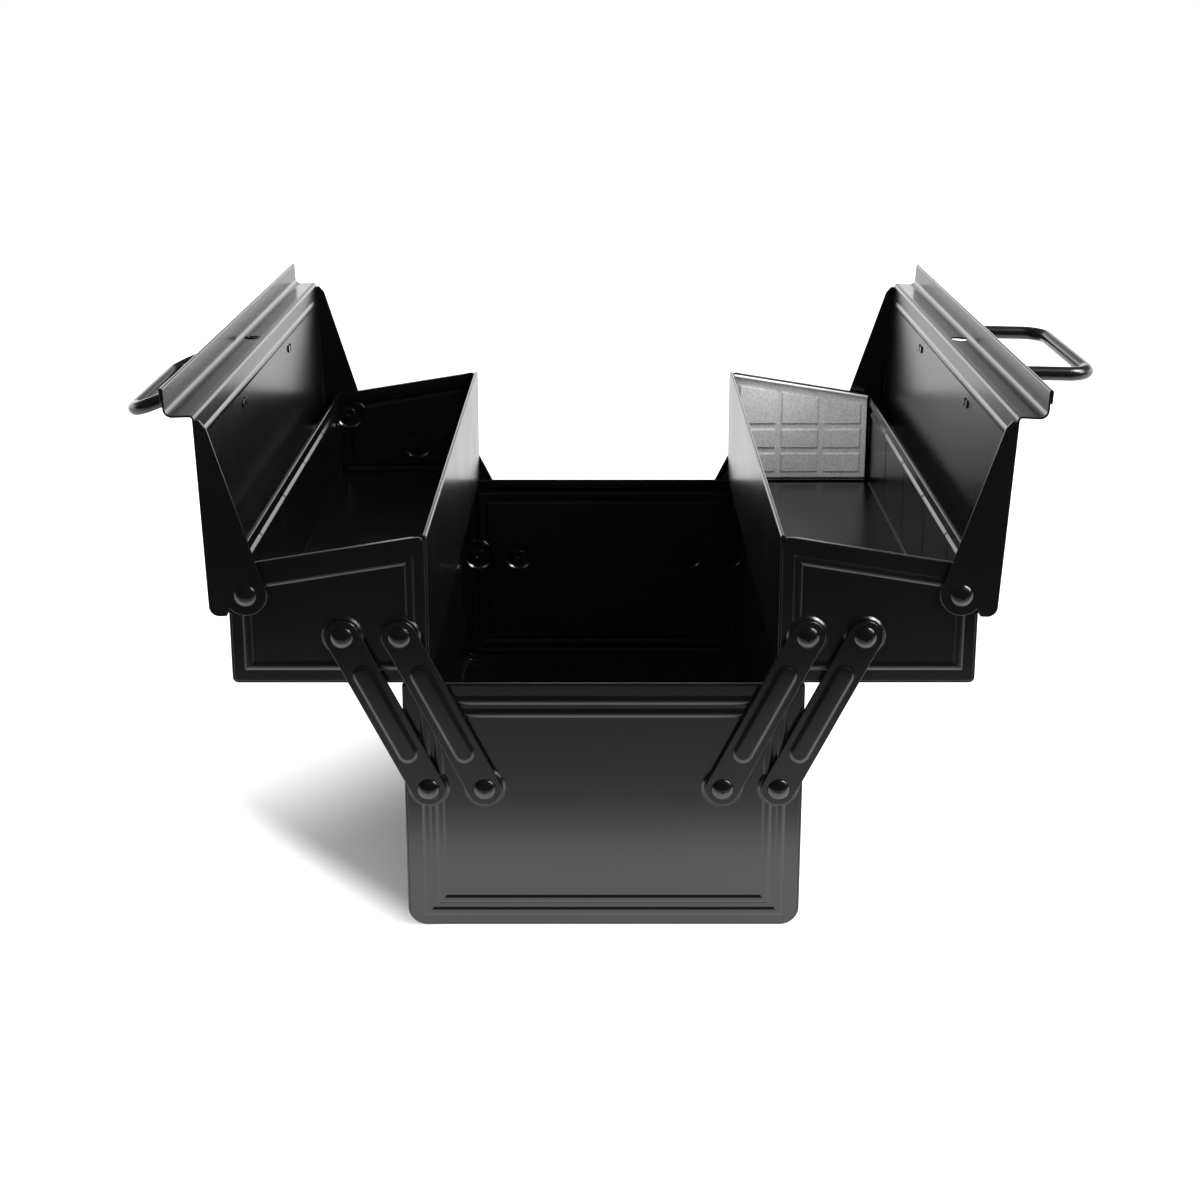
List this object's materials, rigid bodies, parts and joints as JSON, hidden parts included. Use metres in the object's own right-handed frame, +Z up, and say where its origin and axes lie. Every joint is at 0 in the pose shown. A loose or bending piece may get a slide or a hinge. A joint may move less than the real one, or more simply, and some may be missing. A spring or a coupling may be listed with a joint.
{
  "type": "cantilever tool box",
  "caption": "Steel cantilever tool box, open: deep base, swing-out trays on flat linkage arms, hinged lids with folding handles and a loose tray divider.",
  "frame": {"origin": "centre of the base's floor, on the surface that the box stands on", "axes": "+X to the right across the box, along which the trays swing; +Y from the front end to the back end, along its length; +Z up"},
  "size_m": [0.5456, 0.3496, 0.2909],
  "materials": {
    "body_paint": "satin black enamel",
    "handle_paint": "gloss black enamel",
    "rivet_paint": "gloss black enamel",
    "divider_zinc": "bright zinc plate"
  },
  "bodies": {
    "base": {"base_wrap": "body_paint", "base_end_front": "body_paint", "base_end_back": "body_paint", "base_rivets_front": "rivet_paint", "base_rivets_back": "rivet_paint"},
    "left_outer_arms": {"left_outer_arm_front": "body_paint", "left_outer_arm_back": "body_paint"},
    "left_inner_arms": {"left_inner_arm_front": "body_paint", "left_inner_arm_back": "body_paint"},
    "left_tray": {"left_tray_wrap": "body_paint", "left_tray_end_front": "body_paint", "left_tray_end_back": "body_paint", "left_tray_rivets": "rivet_paint", "left_lid_rivets": "rivet_paint"},
    "left_lid": {"left_lid": "body_paint", "left_strap_front": "body_paint", "left_strap_back": "body_paint", "left_strap_rivets": "rivet_paint"},
    "left_handle": {"left_handle": "handle_paint"},
    "right_outer_arms": {"right_outer_arm_front": "body_paint", "right_outer_arm_back": "body_paint"},
    "right_inner_arms": {"right_inner_arm_front": "body_paint", "right_inner_arm_back": "body_paint"},
    "right_tray": {"right_tray_wrap": "body_paint", "right_tray_end_front": "body_paint", "right_tray_end_back": "body_paint", "right_tray_rivets": "rivet_paint", "right_lid_rivets": "rivet_paint"},
    "right_lid": {"right_lid": "body_paint", "right_strap_front": "body_paint", "right_strap_back": "body_paint", "right_strap_rivets": "rivet_paint"},
    "right_handle": {"right_handle": "handle_paint"},
    "right_divider": {"right_tray_divider": "divider_zinc"}
  },
  "joints": [
    {"name": "left_swing", "type": "hinge", "parent": "base", "child": "left_outer_arms", "pos_m": [-0.0895, 0, 0.079], "axis": [0, 1, 0], "range_deg": [0, 53]},
    {"name": "left_inner_swing", "type": "hinge", "parent": "base", "child": "left_inner_arms", "pos_m": [-0.0608, 0, 0.079], "axis": [0, 1, 0], "range_deg": [0, 53]},
    {"name": "left_tray_level", "type": "hinge", "parent": "left_outer_arms", "child": "left_tray", "pos_m": [-0.131, 0, 0.16223], "axis": [0, 1, 0], "range_deg": [-53, 0]},
    {"name": "left_lid_hinge", "type": "hinge", "parent": "left_tray", "child": "left_lid", "pos_m": [-0.17829, 0, 0.1843], "axis": [0, 1, 0], "range_deg": [0, 83.3]},
    {"name": "left_handle_hinge", "type": "hinge", "parent": "left_lid", "child": "left_handle", "pos_m": [-0.204, 0, 0.27009], "axis": [0, 1, 0], "range_deg": [-70.5, 30]},
    {"name": "right_swing", "type": "hinge", "parent": "base", "child": "right_outer_arms", "pos_m": [0.0895, 0, 0.079], "axis": [0, -1, 0], "range_deg": [0, 53]},
    {"name": "right_inner_swing", "type": "hinge", "parent": "base", "child": "right_inner_arms", "pos_m": [0.0608, 0, 0.079], "axis": [0, -1, 0], "range_deg": [0, 53]},
    {"name": "right_tray_level", "type": "hinge", "parent": "right_outer_arms", "child": "right_tray", "pos_m": [0.131, 0, 0.16223], "axis": [0, -1, 0], "range_deg": [-53, 0]},
    {"name": "right_lid_hinge", "type": "hinge", "parent": "right_tray", "child": "right_lid", "pos_m": [0.17829, 0, 0.1843], "axis": [0, -1, 0], "range_deg": [0, 82.2]},
    {"name": "right_handle_hinge", "type": "hinge", "parent": "right_lid", "child": "right_handle", "pos_m": [0.20608, 0, 0.26944], "axis": [0, -1, 0], "range_deg": [-92, 8.5]},
    {"name": "right_divider_slide", "type": "slide", "parent": "right_tray", "child": "right_divider", "axis": [0, 0, -1], "range_m": [-0.085, 0]}
  ],
  "couplings": [
    {"joint": "left_inner_swing", "follows": "left_swing", "ratio": 1},
    {"joint": "left_tray_level", "follows": "left_swing", "ratio": -1},
    {"joint": "right_inner_swing", "follows": "right_swing", "ratio": 1},
    {"joint": "right_tray_level", "follows": "right_swing", "ratio": -1}
  ]
}
